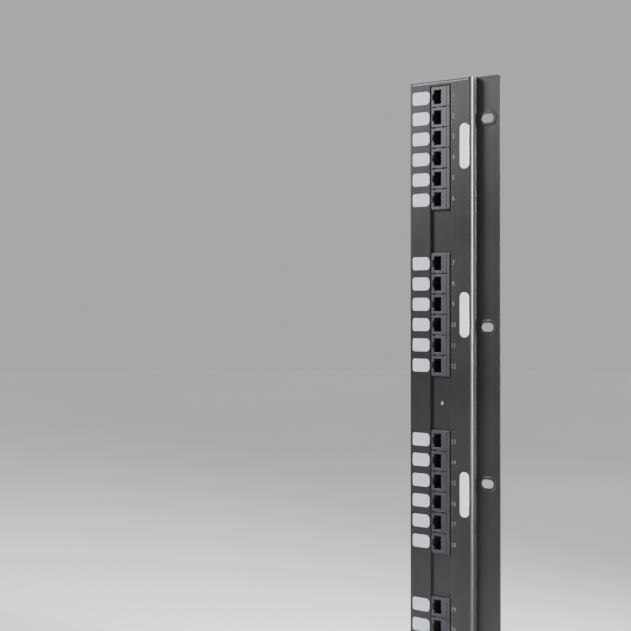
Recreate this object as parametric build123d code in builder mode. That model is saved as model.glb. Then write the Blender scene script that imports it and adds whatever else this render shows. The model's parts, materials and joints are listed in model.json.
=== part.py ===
from build123d import *
import os

# Vertical (zero-U) patch panel: a formed steel sheet that carries four six-port jack modules.
#
# Frame: the origin is on the back of the mounting flange, on the line of its slots, at mid-height.
# +X is the viewer's right, +Y points back into the rack, +Z is up. Millimetres.

# ---- sheet-metal panel ----
SHEET = 1.2
HEIGHT = 561.4
FLANGE_WIDTH = 25.6
BOX_WIDTH = 69.0
STEP = 6.5
BEND = 2.5
LEFT_BEND = 1.5
FOOT_BEND = 1.0
FLANGE_CORNER = 3.0
LEFT_RETURN = 16.0
END_RETURN = 13.0
RELIEF = 0.8
BEND_LAND = 0.3

SIDE_X = -FLANGE_WIDTH / 2
LEFT_X = SIDE_X - BOX_WIDTH
FLANGE_FRONT = -SHEET
FRONT = FLANGE_FRONT - STEP
TOP = HEIGHT / 2
BEND_START = TOP - BEND

# ---- recess that the modules sit in ----
RECESS_DEPTH = 2.0
RECESS_WIDTH = 21.8
RECESS_OFFSET = 34.9
RECESS_LIP = 1.3
RECESS_ROOT = 0.3
RECESS_END = 276.2

MODULE_X = LEFT_X + RECESS_OFFSET
RECESS_LEFT = MODULE_X - RECESS_WIDTH / 2
RECESS_RIGHT = MODULE_X + RECESS_WIDTH / 2
FLOOR = FRONT + RECESS_DEPTH
FLOOR_BACK = FLOOR + SHEET
CENTRE_HOLE = 3.5

# ---- mounting slots, on the 44.45 mm rack unit ----
RACK_UNIT = 44.45
SLOT_LEVELS = (-5.5 * RACK_UNIT, -1.5 * RACK_UNIT, 1.5 * RACK_UNIT, 5.5 * RACK_UNIT)
SLOT_LENGTH = 12.8
SLOT_WIDTH = 7.3
COLLAR_MARGIN = 2.8
COLLAR_RISE = 0.8
COLLAR_TAPER = 50

# ---- ports and modules ----
PORTS = 6
PORT_PITCH = 17.83
MODULE_LEVELS = (221.9, 77.1, -77.1, -221.9)
BEZEL_WIDTH = 20.6
BEZEL_HEIGHT = PORTS * PORT_PITCH
BEZEL_CORNER = 0.6
BEZEL_EDGE = 0.4
SEAT_GAP = 0.05
BEZEL_BACK = FLOOR - SEAT_GAP
CUTOUT_WIDTH = 18.4
CUTOUT_HEIGHT = 105.6
CUTOUT_CORNER = 0.5
SHELL_WIDTH = 17.8
SHELL_HEIGHT = 104.0
SHELL_BACK = 8.4

# ---- jack: the latch notch points to -X, the contacts are on the +X side ----
JACK_RIGHT = MODULE_X + 0.4
JACK_DROP = 7.4
JACK_LEFT = JACK_RIGHT - JACK_DROP
JACK_SPAN = 11.9
JACK_WALL = 2.1
JACK_BACK = SHELL_BACK - JACK_WALL
NOTCH_SPAN = 6.6
NOTCH_DROP = 1.3
NOTCH_DEPTH = 10.0
KEY_SPAN = 3.6
KEY_DROP = 0.7
KEY_DEPTH = 1.6
MOUTH_CHAMFER = 0.4
POCKET_WIDTH = 6.9
POCKET_SPAN = 12.4
POCKET_FRONT = -3.5
SEAM = 0.8
SEAM_DEPTH = 0.7
FACE_LINE_X = JACK_RIGHT + 6.4
FACE_LINE = 0.4
FACE_LINE_DEPTH = 0.3
LEFT_POCKET_WIDTH = 3.2
LEFT_POCKET_DEPTH = 1.6
LEFT_POCKET_X = JACK_LEFT - 0.1
RIGHT_POCKET_WIDTH = 4.2
RIGHT_POCKET_DEPTH = 1.0
RIGHT_POCKET_X = JACK_RIGHT + 3.8
POCKET_HEIGHT = 1.4

# ---- contact carriers and spring contacts ----
WIRES = 8
WIRE_PITCH = 1.02
WIRE = 0.4
WIRE_RUN = JACK_RIGHT + 0.9
WIRE_NOSE = -3.0
WIRE_RETURN = JACK_RIGHT - 0.25
WIRE_TIP_X = JACK_RIGHT - 2.0
WIRE_TIP_Y = 5.6
WIRE_TAIL_Y = 11.2
WIRE_BEND = 0.45
GROOVE = 0.6
GROOVE_DEPTH = 1.15
CARRIER_GAP = 0.15
CARRIER_FRONT = -2.4
CARRIER_BACK = SHELL_BACK - 0.05

# ---- circuit board ----
BOARD = 1.6
BOARD_WIDTH = 17.2
BOARD_HEIGHT = 103.6
BOARD_BACK = SHELL_BACK + BOARD
WIRE_HOLE = 0.7
BLADE_HOLE = 0.9

# ---- punch-down wire blocks and their blades ----
BLOCK_WIDTH = 8.2
BLOCK_X = MODULE_X - 4.1
SLOT_PITCH = 1.9
TOOTH = 0.8
TOOTH_POINT = 1.0
TALL_TOOTH = 24.0
SHORT_TOOTH = 22.4
TOOTH_ROOT = 15.0
CHANNEL = 0.6
BLADE = 0.35
BLADE_WIDTH = 1.0
BLADE_TOP = 20.5
BLADE_SHOULDER = 12.0
BLADE_TAIL = 0.6
BLADE_TAIL_Y = 8.65
SLIT = 0.26
SLIT_ROOT = 16.5
SLIT_MOUTH = 0.7
SLIT_MOUTH_DEPTH = 1.0

# ---- board screws ----
SCREW_X = JACK_RIGHT + 4.7
SCREW_LEVEL = 2 * PORT_PITCH
SCREW = 2.0
SCREW_LENGTH = 7.0
SCREW_HEAD = 4.4
SCREW_HEAD_HEIGHT = 1.6
SCREW_HOLE = 2.1
SCREW_PASSAGE = 2.4
DRIVE_WIDTH = 0.6
DRIVE_LENGTH = 2.5
DRIVE_DEPTH = 0.9
HEAD_EDGE = 0.6

# ---- spring clips ----
CLIP_WIDTH = 8.0
CLIP_SHEET = 0.25
CLIP_HOOK = 0.8
CLIP_HOOK_Y = 6.0
CLIP_LIFT = 0.2
CLIP_FLAT_END = -1.0
CLIP_CREST_Y = FLOOR + SHEET / 2
CLIP_CREST = 0.52
CLIP_TOE_Y = BEZEL_BACK + 0.25
CLIP_TOE = 0.3
CLIP_POCKET = 0.5

# ---- labels ----
LABEL = 0.25
PORT_LABEL_LEFT = LEFT_X + 3.7
PORT_LABEL_WIDTH = 18.9
PORT_LABEL_HEIGHT = 11.2
PORT_LABEL_NEAR = 2.0
PORT_LABEL_FAR = 3.8
MODULE_LABEL_LEFT = LEFT_X + 56.6
MODULE_LABEL_WIDTH = 9.6
MODULE_LABEL_HEIGHT = 38.7
MODULE_LABEL_CORNER = 4.4


def facing(y, z=0):
    """A plane at depth y whose normal points to the viewer, with local x to the right and local y up."""
    return Plane((0, y, z), x_dir=(1, 0, 0), z_dir=(0, -1, 0))


def side_on(x, z=0):
    """A plane at x that is seen from the right: local x runs back, local y up."""
    return Plane((x, 0, z), x_dir=(0, 1, 0), z_dir=(1, 0, 0))


def port_levels():
    """Heights of the six ports, from the module's middle."""
    return [(PORTS - 1 - 2 * i) * PORT_PITCH / 2 for i in range(PORTS)]


def seam_levels():
    """Heights of the borders between ports, from the module's middle."""
    return [(PORTS - 2 - 2 * i) * PORT_PITCH / 2 for i in range(PORTS - 1)]


def bent_sheet(points, radii):
    """Section of a folded sheet whose front surface follows the points; its metal lies to the left."""
    with BuildSketch() as section:
        with BuildLine():
            front = FilletPolyline(*points, radius=radii)
            offset(front, amount=SHEET, side=Side.LEFT)
        make_face()
    return section.sketch


def finish(piece, name):
    piece.part.label = name
    export_step(piece.part, f"parts/{name}.step")


# Corner points of the section's front surface, seen from above.
LEFT_END = (LEFT_X, FRONT + LEFT_RETURN)
LEFT_CORNER = (LEFT_X, FRONT)
RIGHT_CORNER = (SIDE_X, FRONT)
STEP_FOOT = (SIDE_X, FLANGE_FRONT)
FLANGE_EDGE = (-SIDE_X, FLANGE_FRONT)
RECESS_CORNERS = (
    (RECESS_LEFT, FRONT),
    (RECESS_LEFT, FLOOR),
    (RECESS_RIGHT, FLOOR),
    (RECESS_RIGHT, FRONT),
)
RECESS_RADII = (RECESS_LIP, RECESS_ROOT, RECESS_ROOT, RECESS_LIP)


def build_panel_frame():
    with BuildPart() as frame:
        # the section with its recess, over the height that the modules take
        with BuildSketch(Plane.XY.offset(-RECESS_END)):
            outline = (LEFT_END, LEFT_CORNER, *RECESS_CORNERS, RIGHT_CORNER, STEP_FOOT, FLANGE_EDGE)
            add(bent_sheet(outline, (LEFT_BEND, *RECESS_RADII, BEND, FOOT_BEND)))
        extrude(amount=2 * RECESS_END)

        for sign in (-1, 1):
            # plain section beyond the recess, up to where the end bend starts
            with BuildSketch(Plane.XY.offset(sign * RECESS_END)):
                outline = (LEFT_END, LEFT_CORNER, RIGHT_CORNER, STEP_FOOT, FLANGE_EDGE)
                add(bent_sheet(outline, (LEFT_BEND, BEND, FOOT_BEND)))
            extrude(amount=sign * (BEND_START - RECESS_END))

            # the left return, and the side wall with its flange, run on to the end
            with BuildSketch(Plane.XY.offset(sign * BEND_START)):
                outline = (LEFT_END, LEFT_CORNER, (LEFT_X + BEND + BEND_LAND, FRONT))
                add(bent_sheet(outline, (LEFT_BEND,)))
                outline = ((SIDE_X - BEND - BEND_LAND, FRONT), RIGHT_CORNER, STEP_FOOT, FLANGE_EDGE)
                add(bent_sheet(outline, (BEND, FOOT_BEND)))
            extrude(amount=sign * BEND)

            # end wall of the recess
            with BuildSketch(Plane.XY.offset(sign * RECESS_END)):
                with Locations((MODULE_X, (FRONT + FLOOR_BACK) / 2)):
                    Rectangle(RECESS_WIDTH + 2 * SHEET, FLOOR_BACK - FRONT)
            extrude(amount=sign * SHEET)

        # end returns: the front sheet folded back over the top and under the bottom
        with BuildSketch(side_on(LEFT_X + BEND + RELIEF)):
            outline = ((FRONT + END_RETURN, TOP), (FRONT, TOP), (FRONT, BEND_START - SHEET))
            add(bent_sheet(outline, (BEND,)))
            outline = ((FRONT, SHEET - BEND_START), (FRONT, -TOP), (FRONT + END_RETURN, -TOP))
            add(bent_sheet(outline, (BEND,)))
        extrude(amount=BOX_WIDTH - 2 * (BEND + RELIEF))

        # module cut-outs
        with BuildSketch(facing(FLOOR)):
            with Locations(*[(MODULE_X, z) for z in MODULE_LEVELS]):
                RectangleRounded(CUTOUT_WIDTH, CUTOUT_HEIGHT, CUTOUT_CORNER)
        extrude(amount=-SHEET, mode=Mode.SUBTRACT)

        # hole in the recess floor at mid-height
        with BuildSketch(facing(FLOOR)):
            with Locations((MODULE_X, 0)):
                Circle(CENTRE_HOLE / 2)
        extrude(amount=-SHEET, mode=Mode.SUBTRACT)

        # embossed collars round the mounting slots, hollow at the back
        for depth, mode in ((FLANGE_FRONT, Mode.ADD), (0, Mode.SUBTRACT)):
            with BuildSketch(facing(depth)):
                with Locations(*[(0, z) for z in SLOT_LEVELS]):
                    SlotOverall(SLOT_LENGTH + 2 * COLLAR_MARGIN, SLOT_WIDTH + 2 * COLLAR_MARGIN)
            extrude(amount=COLLAR_RISE, taper=COLLAR_TAPER, mode=mode)
        with BuildSketch(facing(0)):
            with Locations(*[(0, z) for z in SLOT_LEVELS]):
                SlotOverall(SLOT_LENGTH, SLOT_WIDTH)
        extrude(amount=SHEET + COLLAR_RISE, mode=Mode.SUBTRACT)

        # rounded outer corners of the flange
        corners = frame.edges().filter_by(Axis.Y).group_by(Axis.X)[-1]
        fillet(corners, FLANGE_CORNER)
    return frame


def jack_places():
    return [(0, z) for z in port_levels()]


def build_housing(z0):
    with BuildPart() as housing:
        # bezel plate
        with BuildSketch(facing(BEZEL_BACK, z0)):
            with Locations((MODULE_X, 0)):
                RectangleRounded(BEZEL_WIDTH, BEZEL_HEIGHT, BEZEL_CORNER)
        extrude(amount=BEZEL_BACK - FRONT)
        fillet(housing.faces().sort_by(Axis.Y)[0].outer_wire().edges(), BEZEL_EDGE)

        # shell behind the bezel
        with BuildSketch(facing(SHELL_BACK, z0)):
            with Locations((MODULE_X, 0)):
                Rectangle(SHELL_WIDTH, SHELL_HEIGHT)
        extrude(amount=SHELL_BACK - BEZEL_BACK)

        # jack cavities, each closed by a wall at the back
        with BuildSketch(facing(FRONT, z0)):
            with Locations(*jack_places()):
                with Locations(((JACK_LEFT + JACK_RIGHT) / 2, 0)):
                    Rectangle(JACK_DROP, JACK_SPAN)
        extrude(amount=FRONT - JACK_BACK, mode=Mode.SUBTRACT)

        # latch notch of each jack, and the shallow key step beside it
        for drop, span, depth in (
            (NOTCH_DROP, NOTCH_SPAN, NOTCH_DEPTH),
            (NOTCH_DROP + KEY_DROP, KEY_SPAN, KEY_DEPTH),
        ):
            with BuildSketch(facing(FRONT, z0)):
                with Locations(*jack_places()):
                    with Locations((JACK_LEFT, 0)):
                        Rectangle(2 * drop, span)
            extrude(amount=-depth, mode=Mode.SUBTRACT)

        # mouth chamfers
        mouths = housing.faces().sort_by(Axis.Y)[0].inner_wires()
        chamfer([edge for wire in mouths for edge in wire.edges()], MOUTH_CHAMFER)

        # pockets for the contact carriers, open to the back
        with BuildSketch(facing(POCKET_FRONT, z0)):
            with Locations(*jack_places()):
                with Locations((JACK_RIGHT + POCKET_WIDTH / 2, 0)):
                    Rectangle(POCKET_WIDTH, POCKET_SPAN)
        extrude(amount=POCKET_FRONT - SHELL_BACK, mode=Mode.SUBTRACT)

        # seams across the bezel between the ports
        with BuildSketch(facing(FRONT, z0)):
            with Locations(*[(MODULE_X, z) for z in seam_levels()]):
                Rectangle(BEZEL_WIDTH, SEAM)
        extrude(amount=-SEAM_DEPTH, mode=Mode.SUBTRACT)

        # line down the face beside the jacks
        with BuildSketch(facing(FRONT, z0)):
            with Locations((FACE_LINE_X, 0)):
                Rectangle(FACE_LINE, BEZEL_HEIGHT - 2 * BEZEL_EDGE)
        extrude(amount=-FACE_LINE_DEPTH, mode=Mode.SUBTRACT)

        # small pockets between the ports, a deep one on the left and a shallow one on the right
        for x, width, depth in (
            (LEFT_POCKET_X, LEFT_POCKET_WIDTH, LEFT_POCKET_DEPTH),
            (RIGHT_POCKET_X, RIGHT_POCKET_WIDTH, RIGHT_POCKET_DEPTH),
        ):
            with BuildSketch(facing(FRONT, z0)):
                with Locations(*[(x, z) for z in seam_levels()]):
                    Rectangle(width, POCKET_HEIGHT)
            extrude(amount=-depth, mode=Mode.SUBTRACT)

        # pilot holes for the board screws
        with BuildSketch(facing(SHELL_BACK, z0)):
            with Locations((SCREW_X, SCREW_LEVEL), (SCREW_X, -SCREW_LEVEL)):
                Circle(SCREW_HOLE / 2)
        extrude(amount=SCREW_LENGTH, mode=Mode.SUBTRACT)

        # pockets that take the hooks of the spring clips
        with BuildSketch(side_on(MODULE_X, z0)):
            with Locations((CLIP_HOOK_Y, SHELL_HEIGHT / 2), (CLIP_HOOK_Y, -SHELL_HEIGHT / 2)):
                Rectangle(CLIP_POCKET, 2 * (CLIP_HOOK + CLIP_LIFT))
        extrude(amount=CLIP_WIDTH / 2 + CLIP_LIFT, both=True, mode=Mode.SUBTRACT)
    return housing


def build_contact_carriers(z0):
    block_left = JACK_RIGHT + CARRIER_GAP
    block_width = POCKET_WIDTH - 2 * CARRIER_GAP
    with BuildPart() as carriers:
        # block in the pocket beside each jack
        with BuildSketch(facing(CARRIER_BACK, z0)):
            with Locations(*[(block_left + block_width / 2, z) for z in port_levels()]):
                Rectangle(block_width, POCKET_SPAN - 2 * CARRIER_GAP)
        extrude(amount=CARRIER_BACK - CARRIER_FRONT)

        # one groove a wire
        with BuildSketch(facing(CARRIER_BACK, z0)):
            with Locations(*[(block_left, z) for z in port_levels()]):
                with GridLocations(0, WIRE_PITCH, 1, WIRES):
                    Rectangle(2 * GROOVE_DEPTH, GROOVE)
        extrude(amount=CARRIER_BACK - CARRIER_FRONT, mode=Mode.SUBTRACT)
    return carriers


def wire_levels(z0):
    first = -(WIRES - 1) * WIRE_PITCH / 2
    return [z0 + z + first + i * WIRE_PITCH for z in port_levels() for i in range(WIRES)]


def build_jack_contacts(z0):
    with BuildPart() as contacts:
        with BuildSketch(*[Plane.XY.offset(z) for z in wire_levels(z0)]):
            with BuildLine():
                FilletPolyline(
                    (WIRE_RUN, WIRE_TAIL_Y),
                    (WIRE_RUN, WIRE_NOSE),
                    (WIRE_RETURN, WIRE_NOSE),
                    (WIRE_TIP_X, WIRE_TIP_Y),
                    radius=WIRE_BEND,
                )
            trace(line_width=WIRE)
        extrude(amount=WIRE / 2, both=True)
    return contacts


def slot_offsets():
    """Places of the eight wire slots of a block, from its middle."""
    return [(i - (WIRES - 1) / 2) * SLOT_PITCH for i in range(WIRES)]


def build_circuit_board(z0):
    with BuildPart() as board:
        with BuildSketch(facing(BOARD_BACK, z0)):
            with Locations((MODULE_X, 0)):
                Rectangle(BOARD_WIDTH, BOARD_HEIGHT)
            with Locations(*[(WIRE_RUN, z) for z in port_levels()]):
                with GridLocations(0, WIRE_PITCH, 1, WIRES):
                    Circle(WIRE_HOLE / 2, mode=Mode.SUBTRACT)
            with Locations(*[(BLOCK_X, z) for z in port_levels()]):
                with GridLocations(0, SLOT_PITCH, 1, WIRES):
                    Circle(BLADE_HOLE / 2, mode=Mode.SUBTRACT)
            with Locations((SCREW_X, SCREW_LEVEL), (SCREW_X, -SCREW_LEVEL)):
                Circle(SCREW_PASSAGE / 2, mode=Mode.SUBTRACT)
        extrude(amount=BOARD)
    return board


def block_outline(z):
    """Side outline of one wire block: teeth of two heights with a slot for a wire between each pair."""
    points = []
    for i in range(WIRES + 1):
        centre = z + (i - WIRES / 2) * SLOT_PITCH
        tip = SHORT_TOOTH if i % 2 else TALL_TOOTH
        points += [
            (TOOTH_ROOT, centre - TOOTH / 2),
            (tip - TOOTH_POINT, centre - TOOTH / 2),
            (tip, centre),
            (tip - TOOTH_POINT, centre + TOOTH / 2),
            (TOOTH_ROOT, centre + TOOTH / 2),
        ]
    low = points[0][1]
    high = points[-1][1]
    return [(BOARD_BACK, low), *points[1:-1], (BOARD_BACK, high)]


def build_wire_blocks(z0):
    with BuildPart() as blocks:
        with BuildSketch(side_on(BLOCK_X, z0)):
            for z in port_levels():
                with BuildLine():
                    Polyline(*block_outline(z), close=True)
                make_face()
        extrude(amount=BLOCK_WIDTH / 2, both=True)

        # channels that hold the blades
        with BuildSketch(facing(BOARD_BACK, z0)):
            with Locations(*[(BLOCK_X, z + s) for z in port_levels() for s in slot_offsets()]):
                Rectangle(CHANNEL, SLOT_PITCH - TOOTH)
        extrude(amount=BOARD_BACK - TOOTH_ROOT, mode=Mode.SUBTRACT)
    return blocks


def build_wire_contacts(z0):
    half = BLADE_WIDTH / 2
    with BuildPart() as blades:
        with BuildSketch(side_on(BLOCK_X, z0)):
            for z in [z + s for z in port_levels() for s in slot_offsets()]:
                with BuildLine():
                    Polyline(
                        (BLADE_TAIL_Y, z - BLADE_TAIL / 2),
                        (BLADE_SHOULDER, z - BLADE_TAIL / 2),
                        (BLADE_SHOULDER, z - half),
                        (BLADE_TOP, z - half),
                        (BLADE_TOP, z - SLIT_MOUTH / 2),
                        (BLADE_TOP - SLIT_MOUTH_DEPTH, z - SLIT / 2),
                        (SLIT_ROOT, z - SLIT / 2),
                        (SLIT_ROOT, z + SLIT / 2),
                        (BLADE_TOP - SLIT_MOUTH_DEPTH, z + SLIT / 2),
                        (BLADE_TOP, z + SLIT_MOUTH / 2),
                        (BLADE_TOP, z + half),
                        (BLADE_SHOULDER, z + half),
                        (BLADE_SHOULDER, z + BLADE_TAIL / 2),
                        (BLADE_TAIL_Y, z + BLADE_TAIL / 2),
                        close=True,
                    )
                make_face()
        extrude(amount=BLADE / 2, both=True)
    return blades


def build_board_screws(z0):
    places = ((SCREW_X, SCREW_LEVEL), (SCREW_X, -SCREW_LEVEL))
    head_back = BOARD_BACK + SCREW_HEAD_HEIGHT
    with BuildPart() as screws:
        with BuildSketch(facing(head_back, z0)):
            with Locations(*places):
                Circle(SCREW_HEAD / 2)
        extrude(amount=SCREW_HEAD_HEIGHT)
        fillet(screws.faces().group_by(Axis.Y)[-1].edges(), HEAD_EDGE)
        with BuildSketch(facing(BOARD_BACK, z0)):
            with Locations(*places):
                Circle(SCREW / 2)
        extrude(amount=SCREW_LENGTH)
        with BuildSketch(facing(head_back, z0)):
            with Locations(*places):
                Rectangle(DRIVE_LENGTH, DRIVE_WIDTH)
                Rectangle(DRIVE_WIDTH, DRIVE_LENGTH)
        extrude(amount=DRIVE_DEPTH, mode=Mode.SUBTRACT)
    return screws


def build_clip(z0, side):
    """Leaf spring hooked into the end of the shell; side is 1 at the top end and -1 at the bottom end."""
    end = SHELL_HEIGHT / 2
    path = (
        (CLIP_HOOK_Y, end - CLIP_HOOK),
        (CLIP_HOOK_Y, end + CLIP_LIFT),
        (CLIP_FLAT_END, end + CLIP_LIFT),
        (CLIP_CREST_Y, end + CLIP_CREST),
        (CLIP_TOE_Y, end + CLIP_TOE),
    )
    with BuildPart() as clip:
        with BuildSketch(side_on(MODULE_X, z0)):
            with BuildLine():
                Polyline(*[(y, side * z) for y, z in path])
            trace(line_width=CLIP_SHEET)
        extrude(amount=CLIP_WIDTH / 2, both=True)
    return clip


def build_port_labels(z0):
    near_x = PORT_LABEL_LEFT
    far_x = PORT_LABEL_LEFT + PORT_LABEL_WIDTH
    half = PORT_LABEL_HEIGHT / 2
    with BuildPart() as labels:
        with BuildSketch(facing(FRONT, z0)) as sketch:
            with Locations(*[((near_x + far_x) / 2, z) for z in port_levels()]):
                Rectangle(PORT_LABEL_WIDTH, 2 * half)
            fillet(sketch.vertices().group_by(Axis.X)[0], PORT_LABEL_NEAR)
            fillet(sketch.vertices().group_by(Axis.X)[-1], PORT_LABEL_FAR)
        extrude(amount=LABEL)
    return labels


def build_module_label(z0):
    with BuildPart() as label:
        with BuildSketch(facing(FRONT, z0)):
            with Locations((MODULE_LABEL_LEFT + MODULE_LABEL_WIDTH / 2, 0)):
                RectangleRounded(MODULE_LABEL_WIDTH, MODULE_LABEL_HEIGHT, MODULE_LABEL_CORNER)
        extrude(amount=LABEL)
    return label


def main():
    os.makedirs("parts", exist_ok=True)
    finish(build_panel_frame(), "panel_frame")
    for number, z0 in enumerate(MODULE_LEVELS, start=1):
        module = f"module_{number}"
        finish(build_housing(z0), f"{module}_housing")
        finish(build_contact_carriers(z0), f"{module}_contact_carriers")
        finish(build_jack_contacts(z0), f"{module}_jack_contacts")
        finish(build_circuit_board(z0), f"{module}_circuit_board")
        finish(build_wire_blocks(z0), f"{module}_wire_blocks")
        finish(build_wire_contacts(z0), f"{module}_wire_contacts")
        finish(build_board_screws(z0), f"{module}_board_screws")
        finish(build_clip(z0, 1), f"{module}_upper_clip")
        finish(build_clip(z0, -1), f"{module}_lower_clip")
        finish(build_port_labels(z0), f"port_labels_{number}")
        finish(build_module_label(z0), f"module_label_{number}")


main()
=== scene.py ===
import json
import math

import bmesh
import bpy
from mathutils import Matrix, Vector


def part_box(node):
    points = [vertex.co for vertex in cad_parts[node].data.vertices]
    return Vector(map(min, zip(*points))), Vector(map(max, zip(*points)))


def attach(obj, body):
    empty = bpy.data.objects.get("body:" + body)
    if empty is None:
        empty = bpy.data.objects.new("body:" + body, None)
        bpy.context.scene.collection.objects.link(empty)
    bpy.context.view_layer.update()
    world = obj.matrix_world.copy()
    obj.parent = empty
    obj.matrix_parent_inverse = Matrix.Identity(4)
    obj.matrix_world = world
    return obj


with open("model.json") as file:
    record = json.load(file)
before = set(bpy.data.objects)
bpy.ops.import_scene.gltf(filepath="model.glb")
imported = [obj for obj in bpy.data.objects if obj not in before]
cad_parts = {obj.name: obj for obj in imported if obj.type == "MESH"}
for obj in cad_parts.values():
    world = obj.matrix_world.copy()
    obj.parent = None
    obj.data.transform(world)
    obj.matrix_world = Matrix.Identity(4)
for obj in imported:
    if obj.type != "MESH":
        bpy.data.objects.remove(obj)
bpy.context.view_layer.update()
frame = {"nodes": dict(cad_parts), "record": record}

MM = 0.001
MODULES = (1, 2, 3, 4)
PORTS = 6                    # in a module
WIRES = 8                    # spring wires in a port
WIRE_PITCH = 1.02 * MM       # between the spring wires of a port
SLOT_PITCH = 1.9 * MM        # between the wire slots of a punch-down block

PANEL_LOW, PANEL_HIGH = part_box("panel_frame")
FRONT_Y = PANEL_LOW.y
LEFT_X = PANEL_LOW.x
MIDDLE_Z = (PANEL_LOW.z + PANEL_HIGH.z) / 2


# ---------------------------------------------------------------------------
# Node materials
# ---------------------------------------------------------------------------

MOST = (0.3, 0.7)            # where most of a noise's values lie


class Shader:
    """A principled material, and short ways to add the texture nodes that feed it."""

    def __init__(self, name):
        self.material = bpy.data.materials.new(name)
        self.material.use_nodes = True
        self.tree = self.material.node_tree
        self.tree.nodes.clear()
        out = self.tree.nodes.new("ShaderNodeOutputMaterial")
        self.bsdf = self.tree.nodes.new("ShaderNodeBsdfPrincipled")
        self.tree.links.new(self.bsdf.outputs["BSDF"], out.inputs["Surface"])
        coordinates = self.tree.nodes.new("ShaderNodeTexCoord")
        self.place = coordinates.outputs["Object"]

    def set(self, **values):
        """Plain values on the shader's own sockets; an underscore in a name is a space."""
        for name, value in values.items():
            self.bsdf.inputs[name.replace("_", " ")].default_value = value

    def feed(self, socket, source):
        """Links a node's output to one of the shader's own sockets."""
        self.tree.links.new(source, self.bsdf.inputs[socket])

    def put(self, socket, value):
        """Links an output to the socket, or gives the socket a number or a colour of its own."""
        if isinstance(value, bpy.types.NodeSocket):
            self.tree.links.new(value, socket)
        elif isinstance(value, tuple):
            socket.default_value = (*value, 1.0)
        else:
            socket.default_value = value

    def stretched(self, scale):
        """Object coordinates scaled by a vector."""
        node = self.tree.nodes.new("ShaderNodeVectorMath")
        node.operation = "MULTIPLY"
        self.tree.links.new(self.place, node.inputs[0])
        node.inputs[1].default_value = scale
        return node.outputs[0]

    def noise(self, scale, detail, roughness=0.5, place=None):
        """Noise between 0 and 1, in object coordinates unless place says otherwise."""
        node = self.tree.nodes.new("ShaderNodeTexNoise")
        node.inputs["Scale"].default_value = scale
        node.inputs["Detail"].default_value = detail
        node.inputs["Roughness"].default_value = roughness
        self.tree.links.new(place or self.place, node.inputs["Vector"])
        return node.outputs["Fac"]

    def ramp(self, source, low, high, at=(0.0, 1.0)):
        """A number that goes from low to high while source goes through the range at."""
        node = self.tree.nodes.new("ShaderNodeMapRange")
        node.inputs["From Min"].default_value = at[0]
        node.inputs["From Max"].default_value = at[1]
        node.inputs["To Min"].default_value = low
        node.inputs["To Max"].default_value = high
        self.tree.links.new(source, node.inputs["Value"])
        return node.outputs["Result"]

    def mix(self, factor, dark, light):
        """Colour between dark and light, which are colours or outputs."""
        node = self.tree.nodes.new("ShaderNodeMix")
        node.data_type = "RGBA"
        first_colour, second_colour, mixed_colour = node.inputs[6], node.inputs[7], node.outputs[2]
        self.tree.links.new(factor, node.inputs["Factor"])
        self.put(first_colour, dark)
        self.put(second_colour, light)
        return mixed_colour

    def combine(self, operation, first, second):
        """A sum or product of two numbers or outputs."""
        node = self.tree.nodes.new("ShaderNodeMath")
        node.operation = operation
        self.put(node.inputs[0], first)
        self.put(node.inputs[1], second)
        return node.outputs[0]

    def rounded(self, radius):
        """A normal that rounds sharp edges by radius, in metres."""
        node = self.tree.nodes.new("ShaderNodeBevel")
        node.samples = 6
        node.inputs["Radius"].default_value = radius
        return node.outputs["Normal"]

    def bump(self, height, distance, strength, normal=None):
        """Relief up to distance deep, in metres, on the shader's normal."""
        node = self.tree.nodes.new("ShaderNodeBump")
        node.inputs["Distance"].default_value = distance
        node.inputs["Strength"].default_value = strength
        self.tree.links.new(height, node.inputs["Height"])
        if normal is not None:
            self.tree.links.new(normal, node.inputs["Normal"])
        self.feed("Normal", node.outputs["Normal"])


def powder_coat():
    """Black polyester powder coat: orange peel, a fine fleck and handling marks."""
    s = Shader("black_powder_coat")
    peel = s.noise(620, detail=2)
    fleck = s.noise(5200, detail=1)
    cloud = s.noise(9, detail=4, roughness=0.6)
    streak = s.noise(1, detail=5, roughness=0.7, place=s.stretched((260, 260, 14)))
    dark, light = (0.013, 0.0132, 0.0145), (0.020, 0.0202, 0.0218)
    fleck_colour = (0.042, 0.043, 0.046)
    base = s.mix(s.ramp(cloud, 0, 1, at=(0.35, 0.65)), dark, light)
    s.feed("Base Color", s.mix(s.ramp(fleck, 0, 0.5, at=(0.6, 0.75)), base, fleck_colour))
    worn = s.ramp(cloud, 0.32, 0.40, at=MOST)
    rubbed = s.ramp(streak, -0.015, 0.02, at=(0.4, 0.7))
    s.feed("Roughness", s.combine("ADD", worn, rubbed))
    s.set(Specular_IOR_Level=0.42)
    height = s.combine("ADD", peel, s.combine("MULTIPLY", fleck, 0.25))
    s.bump(height, 0.12 * MM, 0.35, s.rounded(0.35 * MM))
    return s.material


def moulded(name, dark, light, roughness=(0.42, 0.56)):
    """Moulded plastic with a fine spark-eroded texture."""
    s = Shader(name)
    texture = s.noise(3600, detail=2)
    cloud = s.noise(45, detail=3)
    s.feed("Base Color", s.mix(s.ramp(cloud, 0, 1, at=MOST), dark, light))
    s.feed("Roughness", s.ramp(texture, *roughness, at=MOST))
    s.bump(texture, 0.06 * MM, 0.5, s.rounded(0.25 * MM))
    return s.material


def metal(name, dark, light, roughness, grain=(900, 900, 60)):
    """Plated or bright metal, with drawn lines where the grain is stretched."""
    s = Shader(name)
    lines = s.noise(1, detail=3, place=s.stretched(grain))
    cloud = s.noise(300, detail=3)
    s.feed("Base Color", s.mix(s.ramp(cloud, 0, 1, at=MOST), dark, light))
    s.feed("Roughness", s.ramp(lines, *roughness, at=MOST))
    s.set(Metallic=1.0)
    s.bump(lines, 0.02 * MM, 0.4)
    return s.material


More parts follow.
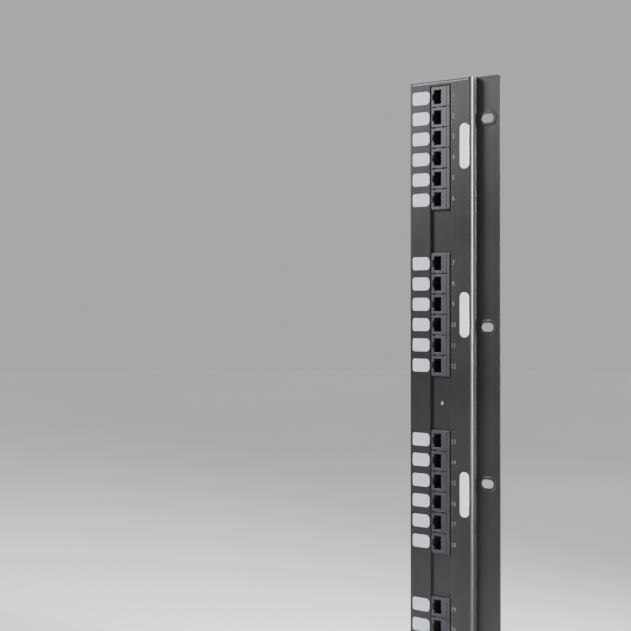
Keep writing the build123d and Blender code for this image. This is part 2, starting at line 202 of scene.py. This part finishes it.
def label_film(name, dark, light):
    """White write-on film: faint fibres, a few grey smudges and a matt coat."""
    s = Shader(name)
    fibre = s.noise(1, detail=4, roughness=0.7, place=s.stretched((900, 900, 420)))
    smudge = s.noise(70, detail=4, roughness=0.6)
    smudge_colour = tuple(0.82 * c for c in dark)
    clean = s.mix(s.ramp(fibre, 0, 1, at=(0.35, 0.65)), dark, light)
    s.feed("Base Color", s.mix(s.ramp(smudge, 0, 0.4, at=(0.58, 0.8)), clean, smudge_colour))
    s.feed("Roughness", s.ramp(fibre, 0.5, 0.66, at=MOST))
    s.bump(fibre, 0.04 * MM, 0.4, s.rounded(0.12 * MM))
    return s.material


def board_laminate():
    """Green solder mask over copper tracks, which show as slightly raised lighter lines."""
    s = Shader("board_laminate")
    weave = s.noise(1, detail=1, place=s.stretched((1800, 1800, 1800)))
    tracks = s.tree.nodes.new("ShaderNodeTexWave")
    tracks.bands_direction = "Z"
    tracks.inputs["Scale"].default_value = 290
    tracks.inputs["Distortion"].default_value = 2.2
    tracks.inputs["Detail"].default_value = 0.5
    tracks.inputs["Detail Scale"].default_value = 0.35
    s.tree.links.new(s.stretched((0.25, 1, 1)), tracks.inputs["Vector"])
    copper = s.ramp(tracks.outputs["Fac"], 0, 1, at=(0.62, 0.74))
    masked = s.mix(copper, (0.008, 0.055, 0.024), (0.022, 0.125, 0.05))
    fibre_colour = (0.03, 0.09, 0.045)
    s.feed("Base Color", s.mix(s.ramp(weave, 0, 0.25, at=(0.4, 0.7)), masked, fibre_colour))
    s.feed("Roughness", s.ramp(weave, 0.22, 0.34, at=MOST))
    s.bump(copper, 0.04 * MM, 0.6, s.rounded(0.08 * MM))
    return s.material


def ink():
    """Grey silk-screen ink, slightly worn."""
    s = Shader("screen_ink")
    wear = s.noise(2600, detail=3, roughness=0.7)
    dark, light = (0.10, 0.10, 0.105), (0.26, 0.265, 0.27)
    s.feed("Base Color", s.mix(s.ramp(wear, 0, 1, at=(0.35, 0.62)), dark, light))
    s.feed("Roughness", s.ramp(wear, 0.6, 0.45))
    s.bump(wear, 0.01 * MM, 0.4)
    return s.material


def solder():
    """Bright solder with a fine grain."""
    s = Shader("solder")
    grain = s.noise(2200, detail=3)
    s.feed("Base Color", s.mix(grain, (0.5, 0.5, 0.51), (0.74, 0.74, 0.74)))
    s.feed("Roughness", s.ramp(grain, 0.18, 0.38))
    s.set(Metallic=1.0)
    s.bump(grain, 0.03 * MM, 0.5)
    return s.material


def colour_code(name, colour):
    """Printed polyester strip in one wiring colour, with a paper-like print grain."""
    s = Shader(name)
    grain = s.noise(3000, detail=2)
    worn = tuple(0.82 * c + 0.05 for c in colour)
    s.feed("Base Color", s.mix(s.ramp(grain, 0, 1, at=(0.4, 0.7)), colour, worn))
    s.feed("Roughness", s.ramp(grain, 0.35, 0.5))
    s.bump(grain, 0.02 * MM, 0.4)
    return s.material


SLOT_MATERIALS = {
    "black_powder_coat": powder_coat(),
    "charcoal_plastic": moulded("charcoal_plastic", (0.024, 0.024, 0.031), (0.032, 0.032, 0.040)),
    "black_plastic": moulded("black_plastic", (0.012, 0.012, 0.013), (0.02, 0.02, 0.021)),
    "gold_plate": metal("gold_plate", (0.72, 0.47, 0.14), (0.90, 0.66, 0.28), (0.18, 0.3)),
    "board_laminate": board_laminate(),
    "block_plastic": moulded("block_plastic", (0.60, 0.59, 0.54), (0.68, 0.67, 0.62), (0.36, 0.5)),
    "tin_plate": metal("tin_plate", (0.58, 0.57, 0.54), (0.76, 0.75, 0.72), (0.22, 0.36)),
    "zinc_steel": metal(
        "zinc_steel", (0.46, 0.47, 0.49), (0.64, 0.65, 0.66), (0.24, 0.42), grain=(700, 700, 700)
    ),
    "spring_steel": metal("spring_steel", (0.36, 0.36, 0.37), (0.5, 0.5, 0.51), (0.2, 0.34)),
    "label_white": label_film("port_label_film", (0.56, 0.585, 0.65), (0.63, 0.655, 0.72)),
}
LONG_LABEL = label_film("module_label_film", (0.85, 0.90, 0.95), (0.92, 0.96, 0.985))


def dress_cad_nodes():
    """Gives every CAD node the material of its slot in the record.

    The long labels share a slot with the small ones but are whiter in the photo, so they get
    a film of their own.
    """
    for part in frame["record"]["subparts"]:
        node = frame["nodes"][part["node"]]
        material = SLOT_MATERIALS[part["material_slot"]]
        if part["node"].startswith("module_label"):
            material = LONG_LABEL
        if not node.material_slots:
            node.data.materials.append(material)
        for slot in node.material_slots:
            slot.material = material


# ---------------------------------------------------------------------------
# Pieces that the CAD model has no use for
# ---------------------------------------------------------------------------


def new_piece(name, mesh, body, slot, *materials):
    """Makes the mesh a piece that rides on one of the frame's bodies."""
    for material in materials:
        mesh.materials.append(material)
    piece = bpy.data.objects.new(name, mesh)
    bpy.context.scene.collection.objects.link(piece)
    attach(piece, body)


def mesh_from(bm, name):
    """Turns the edited mesh into a mesh of that name and frees it."""
    mesh = bpy.data.meshes.new(name)
    bm.to_mesh(mesh)
    bm.free()
    return mesh


def circle(sides):
    """Cosine and sine of the angle of each corner of a regular outline."""
    angles = [2 * math.pi * k / sides for k in range(sides)]
    return [(math.cos(angle), math.sin(angle)) for angle in angles]


def bridge(bm, first, second):
    """Quads between two rings that have the same number of vertices."""
    for k in range(len(first)):
        n = (k + 1) % len(first)
        bm.faces.new((first[k], second[k], second[n], first[n]))


def port_levels(module):
    """Heights of a module's ports, from its housing's box, top port first."""
    low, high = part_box(f"module_{module}_housing")
    pitch = (high.z - low.z) / PORTS
    return [high.z - (i + 0.5) * pitch for i in range(PORTS)]


def digits_mesh(text, height):
    """A thin mesh of the text, centred, standing in the XZ plane and facing -Y."""
    curve = bpy.data.curves.new("digits", "FONT")
    curve.body = text
    curve.align_x = "CENTER"
    curve.align_y = "CENTER"
    curve.size = height
    curve.resolution_u = 6
    curve.extrude = 0.006 * height
    holder = bpy.data.objects.new("digits", curve)
    bpy.context.scene.collection.objects.link(holder)
    bpy.context.view_layer.update()
    mesh = bpy.data.meshes.new_from_object(holder)
    bpy.data.objects.remove(holder)
    mesh.transform(Matrix.Rotation(math.radians(90), 4, "X"))
    return mesh


def add_port_numbers():
    """Port numbers 1 to 24, screen-printed to the right of the jacks."""
    height = 5.6 * MM
    from_left_edge = 49.3 * MM
    print_gap = 0.03 * MM
    material = ink()
    for module in MODULES:
        bm = bmesh.new()
        for i, z in enumerate(port_levels(module)):
            mesh = digits_mesh(str((module - 1) * PORTS + i + 1), height)
            mesh.transform(Matrix.Translation((LEFT_X + from_left_edge, FRONT_Y - print_gap, z)))
            bm.from_mesh(mesh)
            bpy.data.meshes.remove(mesh)
        name = f"port_numbers_{module}"
        new_piece(name, mesh_from(bm, name), "panel", "label_white", material)


WIRE_COLOURS = (
    ("orange_stripe", (0.72, 0.36, 0.18)),
    ("orange", (0.62, 0.17, 0.02)),
    ("green_stripe", (0.30, 0.58, 0.32)),
    ("blue", (0.02, 0.09, 0.42)),
    ("blue_stripe", (0.28, 0.42, 0.72)),
    ("green", (0.015, 0.24, 0.05)),
    ("brown_stripe", (0.45, 0.30, 0.20)),
    ("brown", (0.12, 0.045, 0.018)),
)


def rounded_plate(bm, centre, size, bevel, material_index):
    """A thin box with softened edges in one of the mesh's materials, added to bm."""
    made = bmesh.ops.create_cube(bm, size=1.0)
    bmesh.ops.scale(bm, vec=size, verts=made["verts"])
    bmesh.ops.translate(bm, vec=centre, verts=made["verts"])
    for face in {face for vert in made["verts"] for face in vert.link_faces}:
        face.material_index = material_index
    edges = list({edge for vert in made["verts"] for edge in vert.link_edges})
    bmesh.ops.bevel(
        bm, geom=edges, offset=bevel, segments=2, profile=0.5, affect="EDGES",
        material=material_index,
    )


def add_colour_codes():
    """The wiring colour label on the right-hand side of each punch-down block."""
    materials = [colour_code(f"code_{name}", colour) for name, colour in WIRE_COLOURS]
    thickness = 0.12 * MM
    depth = 2.6 * MM
    from_front = 2.6 * MM
    share_of_pitch = 0.94
    edge_softening = 0.03 * MM
    strip = Vector((thickness, depth, share_of_pitch * SLOT_PITCH))
    middle = (len(WIRE_COLOURS) - 1) / 2
    for module in MODULES:
        low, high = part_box(f"module_{module}_wire_blocks")
        bm = bmesh.new()
        for z in port_levels(module):
            for i in range(len(WIRE_COLOURS)):
                level = z + (middle - i) * SLOT_PITCH
                centre = Vector((high.x + strip.x / 2, low.y + from_front, level))
                rounded_plate(bm, centre, strip, edge_softening, i)
        name = f"module_{module}_colour_code"
        new_piece(name, mesh_from(bm, name), f"module_{module}", "label_white", *materials)


def add_solder_joints():
    """A solder fillet round each jack contact where it comes through the board."""
    profile = ((0.62, 0.0), (0.46, 0.12), (0.34, 0.3), (0.27, 0.55))    # radius and rise, mm
    height_share = 0.78      # the fillets are narrower up and down than across
    tail_inset = 0.2 * MM
    outline = circle(10)
    middle = (WIRES - 1) / 2
    material = solder()
    for module in MODULES:
        wires_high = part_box(f"module_{module}_jack_contacts")[1]
        board_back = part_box(f"module_{module}_circuit_board")[1].y
        bm = bmesh.new()
        for z in port_levels(module):
            for i in range(WIRES):
                level = z + (i - middle) * WIRE_PITCH
                centre = Vector((wires_high.x - tail_inset, board_back, level))
                rings = []
                for radius, rise in profile:
                    rings.append([
                        bm.verts.new(centre + Vector((
                            radius * MM * across, rise * MM, height_share * radius * MM * up
                        )))
                        for across, up in outline
                    ])
                for outer, inner in zip(rings, rings[1:]):
                    bridge(bm, outer, inner)
                bm.faces.new(rings[0])
                bm.faces.new(list(reversed(rings[-1])))
        bmesh.ops.recalc_face_normals(bm, faces=bm.faces)
        name = f"module_{module}_solder_joints"
        mesh = mesh_from(bm, name)
        for polygon in mesh.polygons:
            polygon.use_smooth = True
        new_piece(name, mesh, f"module_{module}", "tin_plate", material)


# ---------------------------------------------------------------------------
# Camera, floor and lights
# ---------------------------------------------------------------------------

VIEW_ANGLE = math.radians(44)    # off straight on, towards the viewer's right
VIEW_DISTANCE = 1.373            # from the left front edge, along the view
LATERAL = 0.0834                 # that edge's distance to the right of the view's middle
EYE_HEIGHT = 0.0898              # above the panel's mid-height
LENS = 88.6                      # mm
SENSOR_WIDTH = 36                # mm
HORIZON_SHIFT = -0.0246          # share of the sensor's width


def add_camera():
    """Level camera to the right of the panel, aimed past its left front edge."""
    forward = Vector((-math.sin(VIEW_ANGLE), math.cos(VIEW_ANGLE), 0))
    right = Vector((math.cos(VIEW_ANGLE), math.sin(VIEW_ANGLE), 0))
    target = Vector((LEFT_X, FRONT_Y, MIDDLE_Z + EYE_HEIGHT))
    data = bpy.data.cameras.new("camera")
    data.lens = LENS
    data.sensor_width = SENSOR_WIDTH
    data.shift_y = HORIZON_SHIFT
    data.clip_start = 0.01
    camera = bpy.data.objects.new("camera", data)
    camera.location = target - VIEW_DISTANCE * forward - LATERAL * right
    camera.rotation_euler = (math.radians(90), 0, VIEW_ANGLE)
    bpy.context.scene.collection.objects.link(camera)
    bpy.context.scene.camera = camera


def add_floor():
    """A pale, flat, round floor just under the panel, in rings that widen outwards."""
    s = Shader("studio_floor")
    cloud = s.noise(1.2, detail=3)
    s.feed("Base Color", s.mix(cloud, (0.74, 0.745, 0.755), (0.78, 0.785, 0.795)))
    s.feed("Roughness", s.ramp(cloud, 0.8, 0.9))
    level = PANEL_LOW.z - 0.5 * MM
    reach = 7.0
    widening = 1.6
    ring_count = 10
    outline = circle(48)
    bm = bmesh.new()
    rings = []
    for k in range(1, ring_count + 1):
        radius = reach * (k / ring_count) ** widening
        rings.append([bm.verts.new((radius * x, radius * y, level)) for x, y in outline])
    bm.faces.new(rings[0])
    for inner, outer in zip(rings, rings[1:]):
        bridge(bm, inner, outer)
    mesh = mesh_from(bm, "floor")
    mesh.materials.append(s.material)
    floor = bpy.data.objects.new("floor", mesh)
    bpy.context.scene.collection.objects.link(floor)


def add_world_light():
    """A pale, even light from all round, which is also the backdrop."""
    world = bpy.data.worlds.new("studio")
    world.use_nodes = True
    background = world.node_tree.nodes["Background"]
    background.inputs["Color"].default_value = (0.865, 0.875, 0.885, 1)
    background.inputs["Strength"].default_value = 0.55
    bpy.context.scene.world = world


def add_light(
    name, azimuth, elevation, distance, size, power,
    colour=(1, 1, 1), aim_height=0, spread=180,
):
    """A rectangular soft light, aimed at a height above the frame's origin.

    Angles are in degrees; azimuth is measured from the front, towards the viewer's right.
    """
    a, e = math.radians(azimuth), math.radians(elevation)
    away = Vector((math.sin(a) * math.cos(e), -math.cos(a) * math.cos(e), math.sin(e)))
    data = bpy.data.lights.new(name, "AREA")
    data.shape = "RECTANGLE"
    data.size, data.size_y = size
    data.energy = power
    data.spread = math.radians(spread)
    data.color = colour
    light = bpy.data.objects.new(name, data)
    light.location = Vector((0, 0, aim_height)) + distance * away
    light.rotation_euler = away.to_track_quat("Z", "Y").to_euler()
    bpy.context.scene.collection.objects.link(light)


def add_area_lights():
    """The key stands just behind the front plane, so that it lights the bend and the side wall
    and leaves the front faces and the foot of the step dark, as in the photo.
    """
    add_light(
        "key", azimuth=95, elevation=8, distance=1.3, size=(0.32, 0.8), power=26,
        colour=(1.0, 0.99, 0.97), aim_height=0.2, spread=58,
    )
    add_light(
        "rim", azimuth=126, elevation=14, distance=1.4, size=(0.4, 0.8), power=5,
        aim_height=0.2, spread=90,
    )
    add_light(
        "fill", azimuth=-62, elevation=24, distance=1.9, size=(0.5, 0.7), power=6.5,
        colour=(0.96, 0.98, 1.0), aim_height=0.32, spread=44,
    )
    add_light("back", azimuth=205, elevation=30, distance=2.0, size=(1.2, 1.2), power=5)


def add_sun():
    """A soft sun from nearly overhead, so that the floor has no dark band at the horizon."""
    data = bpy.data.lights.new("even", "SUN")
    data.energy = 0.55
    data.angle = math.radians(30)
    sun = bpy.data.objects.new("even", data)
    sun.rotation_euler = (math.radians(-8), math.radians(16), 0)
    bpy.context.scene.collection.objects.link(sun)


dress_cad_nodes()
add_port_numbers()
add_colour_codes()
add_solder_joints()
add_camera()
add_floor()
add_world_light()
add_area_lights()
add_sun()
